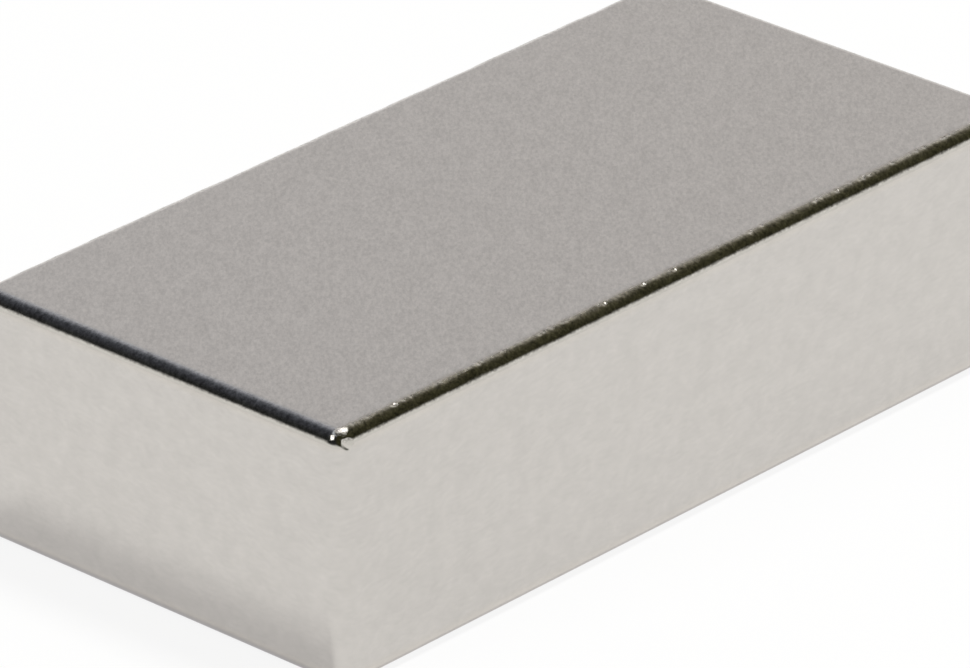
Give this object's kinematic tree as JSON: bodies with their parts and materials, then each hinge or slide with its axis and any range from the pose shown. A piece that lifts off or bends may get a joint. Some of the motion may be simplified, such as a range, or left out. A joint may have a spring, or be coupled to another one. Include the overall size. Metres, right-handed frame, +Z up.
{
  "type": "block magnet",
  "caption": "Rectangular permanent magnet: a thick flat block with rounded edges and corners under a satin nickel finish, with a pole face above and below.",
  "frame": {"origin": "middle of the lower pole face", "axes": "+X along the length, +Y across the width, +Z up through the thickness, which is the direction of magnetisation"},
  "size_m": [0.05, 0.025, 0.0137],
  "materials": {
    "nickel_plating": "satin bright nickel over a ground and tumbled sintered block"
  },
  "bodies": {
    "root": {"magnet_block": "nickel_plating"}
  },
  "joints": []
}
